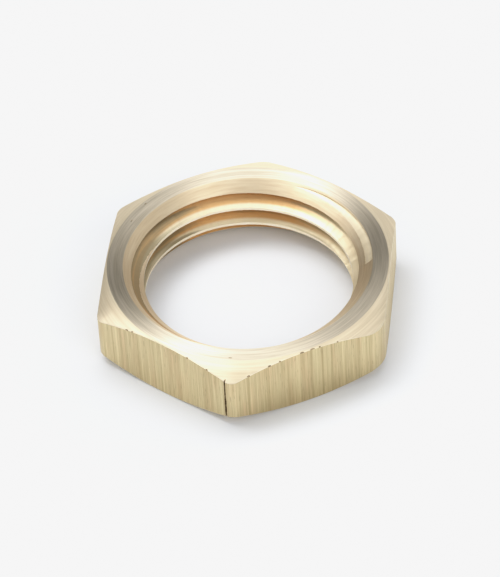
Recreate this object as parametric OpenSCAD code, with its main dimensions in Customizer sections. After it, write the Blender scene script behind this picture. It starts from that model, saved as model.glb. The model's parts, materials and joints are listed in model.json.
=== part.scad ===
// Hexagon lock nut in brass, faced and chamfered on both sides, with a
// right-hand straight pipe thread of 14 turns to the inch.
// One solid piece. +Z is the thread axis, and the lower face lies on Z = 0.
// Two flats face +X and -X, and two corners point along +Y and -Y.

/* [Hexagon] */
// Distance across the flats
across_flats = 25.4; // [24.5:0.1:36]
// How much the corners of the drawn bar are worn back from sharp
corner_wear = 0.165; // [0.05:0.005:0.6]
// Thickness from face to face
thickness = 6.1; // [4.8:0.1:14]

/* [Faces] */
// How far the flat ring on each face stays inside the flats
face_inset = 0.125; // [0.05:0.005:0.3]
// Slope of the corner chamfers against the faces, in degrees
chamfer_angle = 27.5; // [10:0.5:40]
// How far the mouth of each countersink stands outside the thread's roots
mouth_margin = 0.5; // [0.1:0.05:0.7]
// Slope of the countersinks against the faces, in degrees
mouth_angle = 45; // [30:1:50]

/* [Thread] */
// Diameter over the crests, which is the drilled hole
minor_d = 18.75; // [12:0.05:19.2]
// Depth of the groove from crest to root
thread_depth = 1.275; // [0.8:0.005:1.6]
// Rise in one turn of the helix
thread_pitch = 1.814; // [1.4:0.001:2.4]
// Width of the ridge at its crest
crest_flat = 0.27; // [0.15:0.01:0.5]
// Width of the groove at its root
root_flat = 0.07; // [0.03:0.01:0.4]
// Direction in which the groove passes half height, in degrees from +X
thread_turn = 111; // [0:1:359]

/* [Hidden] */
$fn = 96;
// Steps in one turn of the groove
turn_steps = 60;
// How far a cutter reaches past the surface that it cuts
overcut = 0.2;
mid_z = thickness / 2;
minor_r = minor_d / 2;
root_r = minor_r + thread_depth;
mouth_r = root_r + mouth_margin;
mouth_depth = (mouth_r - minor_r) * tan(mouth_angle);
face_r = across_flats / 2 - face_inset;
corner_r = across_flats / 2 / cos(30) - corner_wear;
chamfer_drop = (corner_r - face_r) * tan(chamfer_angle);
// Steps of the helix from half height to either face
half_steps = ceil(mid_z / thread_pitch * turn_steps);

// Half the width of the groove at the crests, at its roots and where the cutter starts
crest_half = (thread_pitch - crest_flat) / 2;
root_half = root_flat / 2;
cutter_r = minor_r - overcut;
cutter_half = crest_half + (crest_half - root_half) * overcut / thread_depth;

// The groove's section, as radius and height from its middle
groove_section = [
    [cutter_r, -cutter_half],
    [root_r, -root_half],
    [root_r, root_half],
    [cutter_r, cutter_half]
];
corners = len(groove_section);

// The section's points, a number of steps above half height along the helix
function groove_ring(step) = let (
    angle = step * 360 / turn_steps,
    z = mid_z + step * thread_pitch / turn_steps
) [for (p = groove_section) [p[0] * cos(angle), p[0] * sin(angle), z + p[1]]];

// The two triangles between one side of a ring and the next ring
function groove_side(ring, side) = let (
    a = ring * corners + side,
    b = ring * corners + (side + 1) % corners
) [[a, a + corners, b], [b, a + corners, b + corners]];

// Hexagonal bar, cut to length
module bar() {
    rotate([0, 0, 30])
        cylinder(h = thickness, d = across_flats / cos(30), $fn = 6);
}

// Round envelope with both corner chamfers, which the bar is turned to
module turned_envelope() {
    rotate_extrude()
        polygon([
            [0, 0],
            [face_r, 0],
            [corner_r, chamfer_drop],
            [corner_r, thickness - chamfer_drop],
            [face_r, thickness],
            [0, thickness]
        ]);
}

// Drilled hole with a countersink at each face
module hole() {
    overcut_r = mouth_r + overcut / tan(mouth_angle);
    rotate_extrude()
        polygon([
            [0, -overcut],
            [overcut_r, -overcut],
            [minor_r, mouth_depth],
            [minor_r, thickness - mouth_depth],
            [overcut_r, thickness + overcut],
            [0, thickness + overcut]
        ]);
}

// Thread groove, which runs out into both countersinks
module groove() {
    last = 2 * half_steps * corners;
    polyhedron(
        points = [for (step = [-half_steps:half_steps]) each groove_ring(step)],
        faces = [
            [3, 2, 1, 0],
            for (ring = [0:2 * half_steps - 1], side = [0:corners - 1]) each groove_side(ring, side),
            [last, last + 1, last + 2, last + 3]
        ]
    );
}

module nut() {
    color("#C9B58A")
        difference() {
            intersection() {
                bar();
                turned_envelope();
            }
            rotate([0, 0, thread_turn]) {
                hole();
                groove();
            }
        }
}

nut();
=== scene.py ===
import json
import math
import bmesh
import bpy
from mathutils import Matrix, Vector


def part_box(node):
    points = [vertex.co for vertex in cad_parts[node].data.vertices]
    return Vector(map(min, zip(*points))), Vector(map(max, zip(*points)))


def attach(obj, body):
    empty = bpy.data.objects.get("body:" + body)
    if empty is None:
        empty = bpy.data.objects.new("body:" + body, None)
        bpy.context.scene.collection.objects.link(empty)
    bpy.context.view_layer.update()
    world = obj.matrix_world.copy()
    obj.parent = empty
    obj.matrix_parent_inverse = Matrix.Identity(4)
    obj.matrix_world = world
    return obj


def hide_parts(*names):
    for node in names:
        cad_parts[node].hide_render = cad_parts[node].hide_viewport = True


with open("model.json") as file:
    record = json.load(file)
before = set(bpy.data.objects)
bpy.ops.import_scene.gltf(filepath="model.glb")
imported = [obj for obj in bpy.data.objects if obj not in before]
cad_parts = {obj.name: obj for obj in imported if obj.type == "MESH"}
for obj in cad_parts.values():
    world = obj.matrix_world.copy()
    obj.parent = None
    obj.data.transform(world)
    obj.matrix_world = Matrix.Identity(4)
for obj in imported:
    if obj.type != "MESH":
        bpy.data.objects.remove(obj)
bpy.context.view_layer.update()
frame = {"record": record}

mm = 0.001
nutLow, nutHigh = (Vector(corner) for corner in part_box("nut"))
acrossFlats = nutHigh.x - nutLow.x
cornerRadius = (nutHigh.y - nutLow.y) / 2
thickness = nutHigh.z - nutLow.z
midHeight = (nutHigh.z + nutLow.z) / 2
mounts = {mount["name"]: mount for mount in frame["record"]["mounts"]}
crestRadius = mounts["thread"]["dims"]["r_mm"] * mm
hexHalfAngle = math.radians(30)   # from the middle of a flat to its corner
print("frame loaded, nut is", [round(side / mm, 3) for side in nutHigh - nutLow], "mm")

# small tools for the modelling below


def makeActive(piece):
    if bpy.context.mode != "OBJECT":
        bpy.ops.object.mode_set(mode="OBJECT")
    bpy.ops.object.select_all(action="DESELECT")
    piece.select_set(True)
    bpy.context.view_layer.objects.active = piece


def startEdit(piece, mode):
    makeActive(piece)
    bpy.ops.object.mode_set(mode="EDIT")
    bpy.ops.mesh.select_mode(type=mode)
    bpy.ops.mesh.select_all(action="DESELECT")


def endEdit():
    bpy.ops.object.mode_set(mode="OBJECT")


def pickParts(kind, test):
    # selects the faces, edges or verts for which the test holds
    mesh = bmesh.from_edit_mesh(bpy.context.edit_object.data)
    for part in getattr(mesh, kind):
        part.select_set(bool(test(part)))
    if kind == "verts":
        mesh.select_flush_mode()
    bmesh.update_edit_mesh(bpy.context.edit_object.data)


def pickAll():
    bpy.ops.mesh.select_all(action="SELECT")


def turnOutwards():
    pickAll()
    bpy.ops.mesh.normals_make_consistent(inside=False)


def stretch(share, middle=(0, 0, 0)):  # of what is picked, along X, Y and Z
    bpy.ops.transform.resize(value=share, center_override=middle)


def makeCrooked(distance, seed):  # moves every point a little
    pickAll()
    bpy.ops.transform.vertex_random(offset=distance, uniform=1, normal=0, seed=seed)


def settle(piece):  # puts the object's place, turn and scale into its mesh
    makeActive(piece)
    bpy.ops.object.transform_apply(location=True, rotation=True, scale=True)


def cutWith(piece, cutter, operation):
    makeActive(piece)
    step = piece.modifiers.new("cut", "BOOLEAN")
    step.operation = operation
    step.object = cutter
    step.solver = "EXACT"
    step.material_mode = "TRANSFER"
    bpy.ops.object.modifier_apply(modifier=step.name)
    bpy.data.objects.remove(cutter)


def radiusOf(point):
    return math.hypot(point.x, point.y)


def outwardsAt(turn):
    return Vector((math.cos(turn), math.sin(turn), 0))


def sidewaysAt(turn):
    return Vector((-math.sin(turn), math.cos(turn), 0))


# small tools for the materials below


def setInputs(tree, node, inputs):
    for name, value in inputs.items():
        if isinstance(value, bpy.types.NodeSocket):
            tree.links.new(value, node.inputs[name])
        else:
            node.inputs[name].default_value = value
    return node


def addNode(tree, kind, inputs=None, **settings):
    node = tree.nodes.new("ShaderNode" + kind)
    for name, value in settings.items():
        setattr(node, name, value)
    return setInputs(tree, node, inputs or {})


def useGroup(tree, group, inputs):
    node = tree.nodes.new("ShaderNodeGroup")
    node.node_tree = group
    return setInputs(tree, node, inputs)


def calculate(tree, operation, *values):
    return addNode(tree, "Math", dict(enumerate(values)), operation=operation).outputs[0]


def scaleVector(tree, vector, share):
    return addNode(tree, "VectorMath", {0: vector, "Scale": share}, operation="SCALE").outputs[0]


def mapRange(tree, value, given=(0, 1), made=(0, 1)):
    inputs = {
        "Value": value, "From Min": given[0], "From Max": given[1], "To Min": made[0], "To Max": made[1]}
    return addNode(tree, "MapRange", inputs).outputs[0]


def mixColours(tree, share, first, second):
    node = addNode(tree, "Mix", {"Factor": share, "A": first, "B": second}, data_type="RGBA")
    return node.outputs["Result"]


def startGroup(name, inputs, outputs):
    group = bpy.data.node_groups.new(name, "ShaderNodeTree")
    for socketName, kind, value in inputs:
        socket = group.interface.new_socket(socketName, in_out="INPUT", socket_type="NodeSocket" + kind)
        if value is not None:
            socket.default_value = value
    for socketName, kind in outputs:
        group.interface.new_socket(socketName, in_out="OUTPUT", socket_type="NodeSocket" + kind)
    return group, group.nodes.new("NodeGroupInput"), group.nodes.new("NodeGroupOutput")


# the finishes

colours = {
    "brass": (0.90, 0.78, 0.54, 1),        # clean metal, as it reflects
    "paleBrass": (0.95, 0.85, 0.67, 1),    # rubbed places
    "deepBrass": (0.70, 0.55, 0.35, 1),    # in the tool marks
    "darkBrass": (0.08, 0.055, 0.03, 1),   # in nicks and seams
    "faceDeep": (0.62, 0.54, 0.40, 1),     # turning lines of the faces, and between them
    "facePale": (0.90, 0.80, 0.64, 1),
    "coneDeep": (0.78, 0.66, 0.46, 1),     # the same of the corner chamfers
    "creamBrass": (0.93, 0.81, 0.60, 1),
    "sinkBrass": (0.86, 0.73, 0.52, 1),    # painted shade: darker than the chamfers' colour, between the lines of the countersinks
    "drawnBrass": (0.84, 0.71, 0.42, 1),   # the flats, with their deep, warm and green stretches
    "drawnDeep": (0.50, 0.38, 0.20, 1),
    "drawnWarm": (0.84, 0.64, 0.38, 1),
    "drawnGreen": (0.78, 0.69, 0.40, 1),
    "drawnDark": (0.34, 0.25, 0.14, 1),    # short dashes on the flats
    "grooveShadeBrass": (0.71, 0.44, 0.20, 1),     # painted shade deep in the thread, the orange of light bounced between brass flanks
    "oldBrass": (0.34, 0.28, 0.17, 1),     # stain on the thread
}
turning = {
    "linesPerMetre": 11000,
    "slope": 0.35,                 # how far a line moves in for its height, so that cones show lines too
    "acrossLines": 0.25,           # turns the highlight across the lines
    "round": 4,                    # how often a line changes on its way round
    "broadness": 0.4,
    "contrast": 1.5,
    "roughnessSpread": 0.03,
    "bump": (0.3, 0.03 * mm),      # strength and distance
}
drawing = {
    "stretch": (22000, 22000, 260),
    "anisotropic": 0.6,
    "broadness": 0.16,
    "contrast": 1.45,
    "roughness": (0.5, 0.3),       # in the fine lines and between them
    "hueStretch": (900, 900, 160),  # how fast the hue wanders
    "warmRange": (0.5, 0.66),
    "warmShare": 0.8,
    "greenRange": (0.5, 0.34),
    "greenShare": 0.55,
    "dashStretch": (11000, 11000, 800),
    "dashRange": (0.63, 0.73),
    "dashShare": 0.55,
    "bump": (0.2, 0.04 * mm),
}
threading = {
    "roughness": 0.5,
    "anisotropic": 0.5,
    "round": 5,
    "broadness": 0.2,
    "contrast": 2,
    "grooveShadeDepth": (0.28 * mm, 0.48 * mm),   # painted shade below the crests, where the groove gets only light bounced off its own brass
    "grooveShadeSide": (3 * mm, 7.5 * mm),        # less of the painted shade towards +X
    "grooveShadeLeast": 0.1,
    "stainSide": (-4 * mm, -9 * mm),         # and more stain towards -X
    "stainMore": 0.28,
    "stainRange": (0.58, 0.74),
    "stainShare": 0.8,
    "bump": (0.35, 0.05 * mm),
}
rubbing = {"roughness": 0.3, "grain": 3000, "bump": (0.2, 0.05 * mm)}
staining = {"roughness": 0.55, "grain": 6000, "bump": (0.3, 0.05 * mm)}


def makeTurnedSpace():
    # the same place on every turn of a lathe tool gets nearly the same value
    group, given, made = startGroup(
        "turnedSpace", [("Point", "Vector", None), ("Lines", "Float", 1), ("Round", "Float", 1)],
        [("Point", "Vector")])
    parts = addNode(group, "SeparateXYZ", {0: given.outputs["Point"]})
    flat = addNode(group, "CombineXYZ", {"X": parts.outputs["X"], "Y": parts.outputs["Y"]})
    outwards = addNode(group, "VectorMath", {0: flat.outputs[0]}, operation="NORMALIZE")
    around = scaleVector(group, outwards.outputs[0], given.outputs["Round"])
    radius = addNode(group, "VectorMath", {0: flat.outputs[0]}, operation="LENGTH").outputs["Value"]
    travel = calculate(group, "MULTIPLY_ADD", parts.outputs["Z"], -turning["slope"], radius)
    line = calculate(group, "MULTIPLY", travel, given.outputs["Lines"])
    turned = addNode(group, "SeparateXYZ", {0: around})
    joined = addNode(group, "CombineXYZ", {"X": turned.outputs["X"], "Y": turned.outputs["Y"], "Z": line})
    group.links.new(joined.outputs[0], made.inputs["Point"])
    return group


def makeToolMarks():
    # fine and broad lines along whichever way the space is stretched
    group, given, made = startGroup(
        "toolMarks", [("Point", "Vector", None), ("Broadness", "Float", 1), ("Contrast", "Float", 1)],
        [("Fine", "Float"), ("Broad", "Float"), ("Marks", "Float")])
    point = given.outputs["Point"]
    fine = addNode(group, "TexNoise", {"Vector": point, "Scale": 1, "Detail": 3, "Roughness": 0.6})
    wide = scaleVector(group, point, given.outputs["Broadness"])
    broad = addNode(group, "TexNoise", {"Vector": wide, "Scale": 1, "Detail": 2, "Roughness": 0.5})
    both = calculate(group, "ADD", fine.outputs["Fac"], broad.outputs["Fac"])
    centred = calculate(group, "SUBTRACT", both, 1)
    sharp = calculate(group, "MULTIPLY", centred, given.outputs["Contrast"])
    lines = addNode(group, "Clamp", {"Value": calculate(group, "ADD", sharp, 0.5)})
    group.links.new(fine.outputs["Fac"], made.inputs["Fine"])
    group.links.new(broad.outputs["Fac"], made.inputs["Broad"])
    group.links.new(lines.outputs[0], made.inputs["Marks"])
    return group


def startMetal(name, roughness, anisotropic=0, turn=0):
    material = bpy.data.materials.new(name)
    material.use_nodes = True
    tree = material.node_tree
    shader = tree.nodes["Principled BSDF"]
    shader.inputs["Metallic"].default_value = 1
    shader.inputs["Roughness"].default_value = roughness
    shader.inputs["Anisotropic"].default_value = anisotropic
    shader.inputs["Anisotropic Rotation"].default_value = turn
    around = addNode(tree, "Tangent", direction_type="RADIAL", axis="Z")
    tree.links.new(around.outputs[0], shader.inputs["Tangent"])
    place = addNode(tree, "TexCoord")
    return material, tree, shader, place.outputs["Object"]


def endMetal(tree, shader, colour, height, bump):
    strength, distance = bump
    rise = addNode(tree, "Bump", {"Height": height, "Strength": strength, "Distance": distance})
    tree.links.new(colour, shader.inputs["Base Color"])
    tree.links.new(rise.outputs[0], shader.inputs["Normal"])


turnedSpace = makeTurnedSpace()
toolMarks = makeToolMarks()


def makeTurnedLines(tree, place, look):
    space = useGroup(
        tree, turnedSpace, {"Point": place, "Lines": turning["linesPerMetre"], "Round": look["round"]})
    values = {
        "Point": space.outputs["Point"], "Broadness": look["broadness"], "Contrast": look["contrast"]}
    return useGroup(tree, toolMarks, values).outputs


def makeTurnedBrass(name, anisotropic, roughness, dark, pale):
    material, tree, shader, place = startMetal(name, roughness, anisotropic, turning["acrossLines"])
    lines = makeTurnedLines(tree, place, turning)
    spread = turning["roughnessSpread"]
    rougher = mapRange(tree, lines["Marks"], made=(roughness + spread, roughness - spread))
    tree.links.new(rougher, shader.inputs["Roughness"])
    colour = mixColours(tree, lines["Marks"], colours[dark], colours[pale])
    endMetal(tree, shader, colour, lines["Fine"], turning["bump"])
    return material


def makeDrawnBrass():
    between = drawing["roughness"][1]
    material, tree, shader, place = startMetal("drawnBrass", between, drawing["anisotropic"])
    space = addNode(tree, "Mapping", {"Vector": place, "Scale": drawing["stretch"]})
    values = {
        "Point": space.outputs[0], "Broadness": drawing["broadness"], "Contrast": drawing["contrast"]}
    lines = useGroup(tree, toolMarks, values).outputs
    hueSpace = addNode(tree, "Mapping", {"Vector": place, "Scale": drawing["hueStretch"]})
    hue = addNode(
        tree, "TexNoise", {"Vector": hueSpace.outputs[0], "Scale": 1, "Detail": 3, "Roughness": 0.6})
    warm = mapRange(tree, hue.outputs["Fac"], drawing["warmRange"], (0, drawing["warmShare"]))
    green = mapRange(tree, hue.outputs["Fac"], drawing["greenRange"], (0, drawing["greenShare"]))
    clean = mixColours(tree, warm, colours["drawnBrass"], colours["drawnWarm"])
    clean = mixColours(tree, green, clean, colours["drawnGreen"])
    colour = mixColours(tree, lines["Marks"], colours["drawnDeep"], clean)
    dashSpace = addNode(tree, "Mapping", {"Vector": place, "Scale": drawing["dashStretch"]})
    dashes = addNode(tree, "TexNoise", {"Vector": dashSpace.outputs[0], "Scale": 1, "Detail": 2})
    dark = mapRange(tree, dashes.outputs["Fac"], drawing["dashRange"], (0, drawing["dashShare"]))
    colour = mixColours(tree, dark, colour, colours["drawnDark"])
    rougher = mapRange(tree, lines["Fine"], made=drawing["roughness"])
    tree.links.new(rougher, shader.inputs["Roughness"])
    endMetal(tree, shader, colour, lines["Fine"], drawing["bump"])
    return material


def makeThreadBrass():
    # painted shade: more orange with depth in the groove and less towards +X, for light bounced between the
    # flanks; and stained in streaks
    material, tree, shader, place = startMetal(
        "threadBrass", threading["roughness"], threading["anisotropic"], turning["acrossLines"])
    lines = makeTurnedLines(tree, place, threading)
    flat = addNode(tree, "VectorMath", {0: place, 1: (1, 1, 0)}, operation="MULTIPLY")
    radius = addNode(tree, "VectorMath", {0: flat.outputs[0]}, operation="LENGTH").outputs["Value"]
    side = addNode(tree, "SeparateXYZ", {0: place}).outputs["X"]
    # painted shade: the orange grows with depth below the crests and fades towards +X
    depth = mapRange(tree, radius, [crestRadius + depth for depth in threading["grooveShadeDepth"]])
    shadeBySide = mapRange(tree, side, threading["grooveShadeSide"], (1, threading["grooveShadeLeast"]))
    grooveShade = calculate(tree, "MULTIPLY", depth, shadeBySide)
    more = mapRange(tree, side, threading["stainSide"], (0, threading["stainMore"]))
    stained = calculate(tree, "ADD", lines["Broad"], more)
    stain = mapRange(tree, stained, threading["stainRange"], (0, threading["stainShare"]))
    colour = mixColours(tree, grooveShade, colours["brass"], colours["grooveShadeBrass"])
    colour = mixColours(tree, stain, colour, colours["oldBrass"])
    endMetal(tree, shader, colour, lines["Fine"], threading["bump"])
    return material


def makeGrainedBrass(name, look, dark, pale):
    material, tree, shader, place = startMetal(name, look["roughness"])
    space = addNode(tree, "Mapping", {"Vector": place, "Scale": (look["grain"],) * 3})
    lines = useGroup(
        tree, toolMarks, {"Point": space.outputs[0], "Broadness": 0.3, "Contrast": 1.5}).outputs
    colour = mixColours(tree, lines["Marks"], colours[dark], colours[pale])
    endMetal(tree, shader, colour, lines["Fine"], look["bump"])
    return material


# anisotropy, roughness, and the colours in the lines and between them
faceBrass = makeTurnedBrass("faceBrass", 0.98, 0.45, "faceDeep", "facePale")
coneBrass = makeTurnedBrass("coneBrass", 0.75, 0.55, "coneDeep", "creamBrass")
# the countersinks' copy is darker, with deepBrass in its lines, as painted shade
sinkBrass = makeTurnedBrass("sinkBrass", 0.85, 0.5, "deepBrass", "sinkBrass")
# the run-out's colours are lighter than the countersink round it: painted highlight
runOutBrass = makeTurnedBrass("runOutBrass", 0.3, 0.5, "brass", "creamBrass")
drawnBrass = makeDrawnBrass()
threadBrass = makeThreadBrass()
rubbedBrass = makeGrainedBrass("rubbedBrass", rubbing, "brass", "paleBrass")
stainedBrass = makeGrainedBrass("stainedBrass", staining, "darkBrass", "deepBrass")
print("finishes made")

# the nut

nutShape = {
    "faceInset": 0.125 * mm,     # flat ring on each face, inside the flats
    "chamferAngle": 27.5,        # corner chamfers, against the faces
    "mouthMargin": 0.5 * mm,     # countersink's mouth, outside the thread's roots
    "mouthAngle": 45,
    "threadDepth": 1.275 * mm,
    "threadPitch": 1.814 * mm,
    "crestFlat": 0.27 * mm,
    "rootFlat": 0.07 * mm,
    "threadTurn": 111,           # where the groove passes half height, degrees from +X
    "threadTurns": 4,
    "segments": 360,
    "tear": 0.012 * mm,          # unevenness of the thread
    "tearSeed": 5,
}
corners = {
    "width": 0.62 * mm,          # rounding of the upright corners, along each flat
    "fullness": 0.5,
    "wornCorner": 330,           # one corner is rounder than the others
    "wornWidth": 2 * mm,
    "wornFullness": 0.6,
    "segments": 14,
    "edgeWidth": 0.03 * mm,      # broken edges round the flats
    "edgeSegments": 3,
    "rimWidth": 0.02 * mm,       # and where two turned faces meet
    "rimSegments": 2,
    "sharpFrom": 14,             # degrees from which an edge is broken
    "smoothUpTo": 24,            # degrees up to which an edge is shaded smooth
}
overcut = 0.2 * mm
tiny = 0.004 * mm
uprightNormal = 0.3              # a face whose normal has less Z than this is upright
levelNormal = 0.95               # and with more Z than this it is level
chamferSlope = math.tan(math.radians(nutShape["chamferAngle"]))
rootRadius = crestRadius + nutShape["threadDepth"]
mouthRadius = rootRadius + nutShape["mouthMargin"]
mouthDepth = (mouthRadius - crestRadius) * math.tan(math.radians(nutShape["mouthAngle"]))
faceRadius = acrossFlats / 2 - nutShape["faceInset"]
chamferDrop = (cornerRadius - faceRadius) * chamferSlope


def isLevel(face, side=0):  # side is 1 for up, -1 for down, 0 for either
    return (face.normal.z * side if side else abs(face.normal.z)) > levelNormal


def isUpright(face):
    return abs(face.normal.z) < uprightNormal


def isSloping(face):
    return uprightNormal < abs(face.normal.z) < levelNormal


def isInMouth(face):
    return radiusOf(face.calc_center_median()) < mouthRadius


def isCap(face, side=0):
    return isLevel(face, side) and len(face.verts) > 4


def narrowCap(rise, start, end):
    # extrudes the picked cap along Z and scales it from one radius to another
    bpy.ops.mesh.extrude_region_move(TRANSFORM_OT_translate={"value": (0, 0, rise)})
    stretch((end / start, end / start, 1))


def giveMaterial(piece, material):  # to the picked faces
    if material.name not in piece.data.materials:
        piece.data.materials.append(material)
    piece.active_material_index = piece.data.materials.find(material.name)
    bpy.ops.object.material_slot_assign()


def makeTurnedRing():
    bpy.ops.mesh.primitive_cylinder_add(
        vertices=nutShape["segments"], radius=cornerRadius,
        depth=thickness - 2 * chamferDrop, location=(0, 0, midHeight))
    ring = bpy.context.active_object
    ring.name = "brassHexNut"
    settle(ring)
    for material in (faceBrass, coneBrass, sinkBrass, rubbedBrass):
        ring.data.materials.append(material)
    startEdit(ring, "FACE")
    for side in (1, -1):
        pickParts("faces", lambda face: isCap(face, side))
        narrowCap(side * chamferDrop, cornerRadius, faceRadius)
        bpy.ops.mesh.inset(thickness=faceRadius - mouthRadius)
        narrowCap(-side * mouthDepth, mouthRadius, crestRadius)
    pickParts("faces", isCap)
    bpy.ops.mesh.bridge_edge_loops()
    pickParts("faces", isSloping)
    giveMaterial(ring, coneBrass)
    # the countersinks get the darker copy of the cone finish: painted shade
    pickParts("faces", lambda face: isSloping(face) and isInMouth(face))
    giveMaterial(ring, sinkBrass)
    pickParts("faces", lambda face: isUpright(face) and isInMouth(face))
    giveMaterial(ring, rubbedBrass)
    turnOutwards()
    endEdit()
    return ring


def roundCorners(test, width, fullness):
    pickParts("edges", test)
    bpy.ops.mesh.bevel(offset=width, segments=corners["segments"], profile=fullness, affect="EDGES")


def makeHexBar():
    spare = 1 * mm
    barRadius = acrossFlats / 2 / math.cos(hexHalfAngle)
    bpy.ops.mesh.primitive_cylinder_add(
        vertices=6, radius=barRadius, depth=thickness + 2 * spare, location=(0, 0, midHeight))
    bar = bpy.context.active_object
    settle(bar)
    bar.data.materials.append(drawnBrass)
    outwards = outwardsAt(math.radians(corners["wornCorner"]))

    def isCorner(edge):
        ends = [vert.co for vert in edge.verts]
        upright = abs(ends[0].z - ends[1].z) > spare
        return upright and radiusOf((ends[0] + ends[1]) / 2) > barRadius - tiny

    def isWorn(edge):
        return (edge.verts[0].co + edge.verts[1].co).dot(outwards) / 2 > barRadius - tiny
    startEdit(bar, "EDGE")
    roundCorners(lambda edge: isCorner(edge) and not isWorn(edge), corners["width"], corners["fullness"])
    roundCorners(lambda edge: isCorner(edge) and isWorn(edge), corners["wornWidth"], corners["wornFullness"])
    endEdit()
    return bar


def breakEdges(piece):
    # every sharp edge outside the bore gets a narrow rounding
    sharpFrom = math.radians(corners["sharpFrom"])

    def isSharp(edge):
        if len(edge.link_faces) != 2 or edge.calc_face_angle(0) < sharpFrom:
            return False
        return min(radiusOf(vert.co) for vert in edge.verts) > crestRadius + overcut

    def isRim(edge):
        return isSharp(edge) and not any(isUpright(face) for face in edge.link_faces)

    def isFlatEdge(edge):
        return isSharp(edge) and any(isUpright(face) for face in edge.link_faces)
    startEdit(piece, "VERT")
    pickAll()
    bpy.ops.mesh.remove_doubles(threshold=tiny)
    bpy.ops.mesh.select_mode(type="EDGE")
    for test, kind in ((isRim, "rim"), (isFlatEdge, "edge")):
        pickParts("edges", test)
        bpy.ops.mesh.bevel(
            offset=corners[kind + "Width"], segments=corners[kind + "Segments"],
            affect="EDGES", clamp_overlap=True)
    giveMaterial(piece, rubbedBrass)
    endEdit()


def makeGroove(section, turns, rise, start, twist, material):
    # section is (inner radius, inner half width, outer radius, outer half width)
    innerRadius, innerHalf, outerRadius, outerHalf = section
    middle = Vector(((innerRadius + outerRadius) / 2, 0, start))
    bpy.ops.mesh.primitive_plane_add(size=1, location=middle, rotation=(math.radians(90), 0, 0))
    groove = bpy.context.active_object
    settle(groove)
    groove.data.materials.append(material)
    startEdit(groove, "VERT")
    pickAll()
    stretch((outerRadius - innerRadius, 1, 2 * innerHalf), middle)
    pickParts("verts", lambda vert: vert.co.x > middle.x)
    stretch((1, 1, outerHalf / innerHalf), middle)
    endEdit()
    helix = groove.modifiers.new("helix", "SCREW")
    helix.axis = "Z"
    helix.angle = math.radians(360) * turns
    helix.screw_offset = rise * turns
    helix.steps = helix.render_steps = int(nutShape["segments"] * turns)
    bpy.ops.object.modifier_apply(modifier=helix.name)
    startEdit(groove, "VERT")
    pickAll()
    bpy.ops.mesh.fill_holes(sides=0)
    turnOutwards()
    makeCrooked(nutShape["tear"], nutShape["tearSeed"])
    endEdit()
    groove.rotation_euler = (0, 0, math.radians(twist))
    settle(groove)
    return groove


def makeThreadGroove():
    crestHalf = (nutShape["threadPitch"] - nutShape["crestFlat"]) / 2
    rootHalf = nutShape["rootFlat"] / 2
    flare = (crestHalf - rootHalf) / nutShape["threadDepth"]
    section = (crestRadius - overcut, crestHalf + flare * overcut, rootRadius, rootHalf)
    turns = nutShape["threadTurns"]
    pitch = nutShape["threadPitch"]
    return makeGroove(
        section, turns, pitch, midHeight - turns / 2 * pitch, nutShape["threadTurn"], threadBrass)


runOut = {
    "start": 5,                  # its wide end, degrees from +X
    "turns": 0.25,
    "drop": 0.205 * mm,          # below the top face
    "depth": 0.4 * mm,           # at the wide end
    "offCentre": 0.64 * mm,      # so it fades out along its length
    "halfWidth": 0.7 * mm,
}


def makeRunOut():
    # a short cut in the countersink, where the tap slipped before it took hold
    deepest = mouthRadius - runOut["drop"] + runOut["depth"] - runOut["offCentre"]
    section = (crestRadius, runOut["halfWidth"], deepest, nutShape["rootFlat"] / 2)
    cut = makeGroove(section, runOut["turns"], 0, nutHigh.z - runOut["drop"], runOut["start"], runOutBrass)
    cut.location = outwardsAt(math.radians(runOut["start"])) * runOut["offCentre"]
    settle(cut)
    return cut


marks = {
    # flat's direction in degrees, place along it and length of the mark, in mm
    "edgeNicks": (
        (300, -5.6, 0.25), (300, -3.6, 0.25), (300, -2.6, 0.15), (300, -0.5, 0.35), (300, 0.5, 0.4),
        (300, 1.2, 0.15), (300, 2.9, 0.15), (240, -3.9, 0.3), (240, -3.3, 0.2), (240, 2.7, 0.2),
        (240, 4.8, 0.2)),
    "nickSize": (0.2, 1.2, 0.16),   # width in mm, share of the mark's length, height in mm
    # direction in degrees, radius and length of the mark, in mm
    "facePits": ((157, 12, 0.3), (145, 12.3, 0.3), (-91, 12.3, 0.35)),
    "burrs": (
        (-164, 11.3, 0.15), (-177, 12.5, 0.15), (-171, 12.5, 0.2), (160, 12.5, 0.15),
        (170, 11.3, 0.15), (-18, 11.3, 0.15), (3, 11.3, 0.1)),
    "burrDrop": 0.045 * mm,         # burrs stay just below the top face
    "speckSize": (0.1, 1, 0.08),    # the same for pits and burrs
}
seamShape = {
    "flat": 240,                    # a drawing seam close to one corner
    "toCorner": 0.67 * mm,
    "width": 0.32 * mm,
    "depth": 0.22 * mm,
    "overrun": 1.2,                 # its length, against the thickness
    "cuts": 24,
    "wander": 0.03 * mm,
    "inside": 0.3,                  # narrower there
    "top": 0.7,
    "seed": 7,
}


def edgeHeight(along):
    # where the chamfer meets a flat
    return nutHigh.z - (math.hypot(acrossFlats / 2, along) - faceRadius) * chamferSlope


def addSpeck(place, turn, length, shares):
    width, lengthShare, height = shares
    bpy.ops.mesh.primitive_ico_sphere_add(subdivisions=2, radius=0.5, location=place, rotation=(0, 0, turn))
    speck = bpy.context.active_object
    speck.scale = (width * mm, lengthShare * length * mm, height * mm)
    settle(speck)
    return speck


def addFaceSpecks(places, height):
    specks = []
    for direction, radius, length in places:
        turn = math.radians(direction)
        place = Vector((math.cos(turn) * radius * mm, math.sin(turn) * radius * mm, height))
        specks.append(addSpeck(place, turn, length, marks["speckSize"]))
    return specks


def joinPieces(pieces, material):
    makeActive(pieces[0])
    for piece in pieces:
        piece.select_set(True)
    bpy.ops.object.join()
    joined = bpy.context.active_object
    joined.data.materials.clear()
    joined.data.materials.append(material)
    return joined


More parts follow.
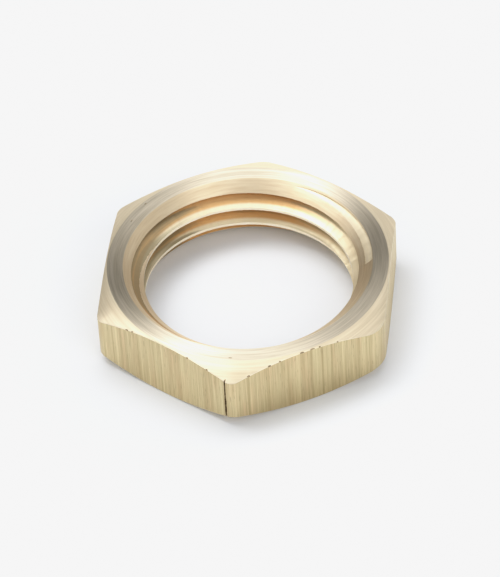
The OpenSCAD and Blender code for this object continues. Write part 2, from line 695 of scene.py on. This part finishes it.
def makeNicks():
    specks = []
    for direction, along, length in marks["edgeNicks"]:
        turn = math.radians(direction)
        place = outwardsAt(turn) * acrossFlats / 2 + sidewaysAt(turn) * along * mm
        place.z = edgeHeight(along * mm)
        specks.append(addSpeck(place, turn, length, marks["nickSize"]))
    return joinPieces(specks + addFaceSpecks(marks["facePits"], nutHigh.z), stainedBrass)


def makeBurrs():
    return joinPieces(addFaceSpecks(marks["burrs"], nutHigh.z - marks["burrDrop"]), rubbedBrass)


def makeSeam():
    # a thin upright wedge, a little crooked, narrower inside and towards the top
    bpy.ops.mesh.primitive_cube_add(size=1, location=(0, 0, 0))
    seam = bpy.context.active_object
    seam.scale = (2 * seamShape["depth"], seamShape["width"], thickness * seamShape["overrun"])
    settle(seam)
    startEdit(seam, "EDGE")
    pickParts("edges", lambda edge: abs(edge.verts[0].co.z - edge.verts[1].co.z) > thickness)
    bpy.ops.mesh.subdivide(number_cuts=seamShape["cuts"])
    makeCrooked(seamShape["wander"], seamShape["seed"])
    bpy.ops.mesh.select_mode(type="VERT")
    pickParts("verts", lambda vert: vert.co.x < 0)
    stretch((1, seamShape["inside"], 1))
    pickParts("verts", lambda vert: vert.co.z > 0)
    stretch((1, seamShape["top"], 1))
    endEdit()
    turn = math.radians(seamShape["flat"])
    along = acrossFlats / 2 * math.tan(hexHalfAngle) - seamShape["toCorner"]
    seam.location = outwardsAt(turn) * acrossFlats / 2 + sidewaysAt(turn) * along
    seam.location.z = midHeight
    seam.rotation_euler = (0, 0, turn)
    settle(seam)
    seam.data.materials.append(stainedBrass)
    return seam


def makeNut():
    nut = makeTurnedRing()
    cutWith(nut, makeHexBar(), "INTERSECT")
    breakEdges(nut)
    print("ring cut to the hexagon")
    cutWith(nut, makeSeam(), "DIFFERENCE")
    cutWith(nut, makeNicks(), "DIFFERENCE")
    cutWith(nut, makeBurrs(), "UNION")
    print("marks made")
    cutWith(nut, makeThreadGroove(), "DIFFERENCE")
    cutWith(nut, makeRunOut(), "DIFFERENCE")
    print("thread cut")
    startEdit(nut, "VERT")
    pickAll()
    bpy.ops.mesh.remove_doubles(threshold=tiny)
    turnOutwards()
    endEdit()
    bpy.ops.object.shade_smooth_by_angle(angle=math.radians(corners["smoothUpTo"]))
    even = nut.modifiers.new("even", "WEIGHTED_NORMAL")
    even.keep_sharp = True
    bpy.ops.object.modifier_apply(modifier=even.name)
    return nut


brassNut = makeNut()
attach(brassNut, "root")
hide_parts("nut")
print("nut made,", len(brassNut.data.polygons), "faces")

# floor, light and camera

studio = {
    "floorSize": 6,
    "floorColour": (0.82, 0.84, 0.87),
    "floorShade": (0.985, 1),       # how far its grain darkens it
    "floorRoughness": 0.7,
    "floorShine": 0.2,
    "skyColour": (0.985, 0.99, 1, 1),
    "fillStrength": 0.01,
    # soft lights far away: azimuth from +X, elevation, strength and sharpness
    "highLights": ((90, 70, 5, 30), (160, 65, 7.5, 30)),
    "frontLight": (315, 40, 2.7, 14),
    # the same without the sharpness, which they share
    "ringLights": (
        (45, 40, 1.2), (225, 40, 1.2), (270, 40, 0.6), (0, 10, 0.8), (90, 10, 0.8), (180, 10, 0.8)),
    "ringSharpness": 14,
    # output against input of the picture's tones
    "shoulder": ((0, 0), (0.7, 0.7), (0.85, 0.83), (1, 0.92), (1.2, 0.965), (1.5, 0.985), (2.5, 1)),
}
viewpoint = {
    "azimuth": 8.34,         # degrees from -Y round towards +X
    "elevation": 43.43,
    "roll": -3.447,
    "distance": 0.31617,
    "aimRight": 0.00006,     # where the view aims, off the middle of the foot
    "aimUp": 0.001976,
    "lens": 218.6,
}


def makeFloor():
    bpy.ops.mesh.primitive_plane_add(size=studio["floorSize"], location=(0, 0, nutLow.z))
    floor = bpy.context.active_object
    floor.name = "floor"
    settle(floor)
    material = bpy.data.materials.new("paleFloor")
    material.use_nodes = True
    tree = material.node_tree
    shader = tree.nodes["Principled BSDF"]
    place = addNode(tree, "TexCoord")
    paper = addNode(tree, "TexNoise", {"Vector": place.outputs["Object"], "Scale": 900, "Detail": 4})
    shade = mapRange(tree, paper.outputs["Fac"], made=studio["floorShade"])
    colour = scaleVector(tree, studio["floorColour"], shade)
    tree.links.new(colour, shader.inputs["Base Color"])
    shader.inputs["Roughness"].default_value = studio["floorRoughness"]
    shader.inputs["Specular IOR Level"].default_value = studio["floorShine"]
    floor.data.materials.append(material)


def makeLight():
    # each soft light is a wide glow in the sky, so that nothing has a hard edge
    world = bpy.data.worlds.new("studio")
    bpy.context.scene.world = world
    world.use_nodes = True
    tree = world.node_tree
    sky = tree.nodes["Background"]
    outwards = addNode(tree, "TexCoord").outputs["Generated"]
    total = studio["fillStrength"]
    ring = [light + (studio["ringSharpness"],) for light in studio["ringLights"]]
    for azimuth, elevation, strength, sharpness in (*studio["highLights"], studio["frontLight"], *ring):
        azimuth = math.radians(azimuth)
        elevation = math.radians(elevation)
        middle = (math.cos(azimuth) * math.cos(elevation),
                  math.sin(azimuth) * math.cos(elevation),
                  math.sin(elevation))
        closeness = addNode(tree, "VectorMath", {0: outwards, 1: middle}, operation="DOT_PRODUCT")
        front = calculate(tree, "MAXIMUM", closeness.outputs["Value"], 0)
        glow = calculate(tree, "POWER", front, sharpness)
        total = calculate(tree, "MULTIPLY_ADD", glow, strength, total)
    tree.links.new(total, sky.inputs["Strength"])
    sky.inputs["Color"].default_value = studio["skyColour"]


def softenHighlights():
    # bright tones roll off gently, as they do on film
    view = bpy.context.scene.view_settings
    view.view_transform = "Standard"
    view.use_curve_mapping = True
    mapping = view.curve_mapping
    mapping.use_clip = False
    red, green, blue, together = mapping.curves
    first, *between, last = studio["shoulder"]
    together.points[0].location = first
    together.points[1].location = last
    for place in between:
        together.points.new(*place)
    mapping.update()


def makeCamera():
    azimuth = math.radians(viewpoint["azimuth"])
    elevation = math.radians(viewpoint["elevation"])
    roll = math.radians(viewpoint["roll"])
    back = Vector((math.sin(azimuth) * math.cos(elevation),
                   -math.cos(azimuth) * math.cos(elevation),
                   math.sin(elevation)))
    right = Vector((math.cos(azimuth), math.sin(azimuth), 0))
    up = back.cross(right)
    place = back * viewpoint["distance"] + right * viewpoint["aimRight"] + up * viewpoint["aimUp"]
    across = right * math.cos(roll) + up * math.sin(roll)
    upwards = up * math.cos(roll) - right * math.sin(roll)
    turned = Matrix((across, upwards, back)).transposed()
    bpy.ops.object.camera_add(location=place, rotation=turned.to_euler())
    camera = bpy.context.active_object
    camera.name = "camera"
    camera.data.lens = viewpoint["lens"]
    bpy.context.scene.camera = camera


makeFloor()
makeLight()
makeCamera()
softenHighlights()
print("floor, light and camera set")
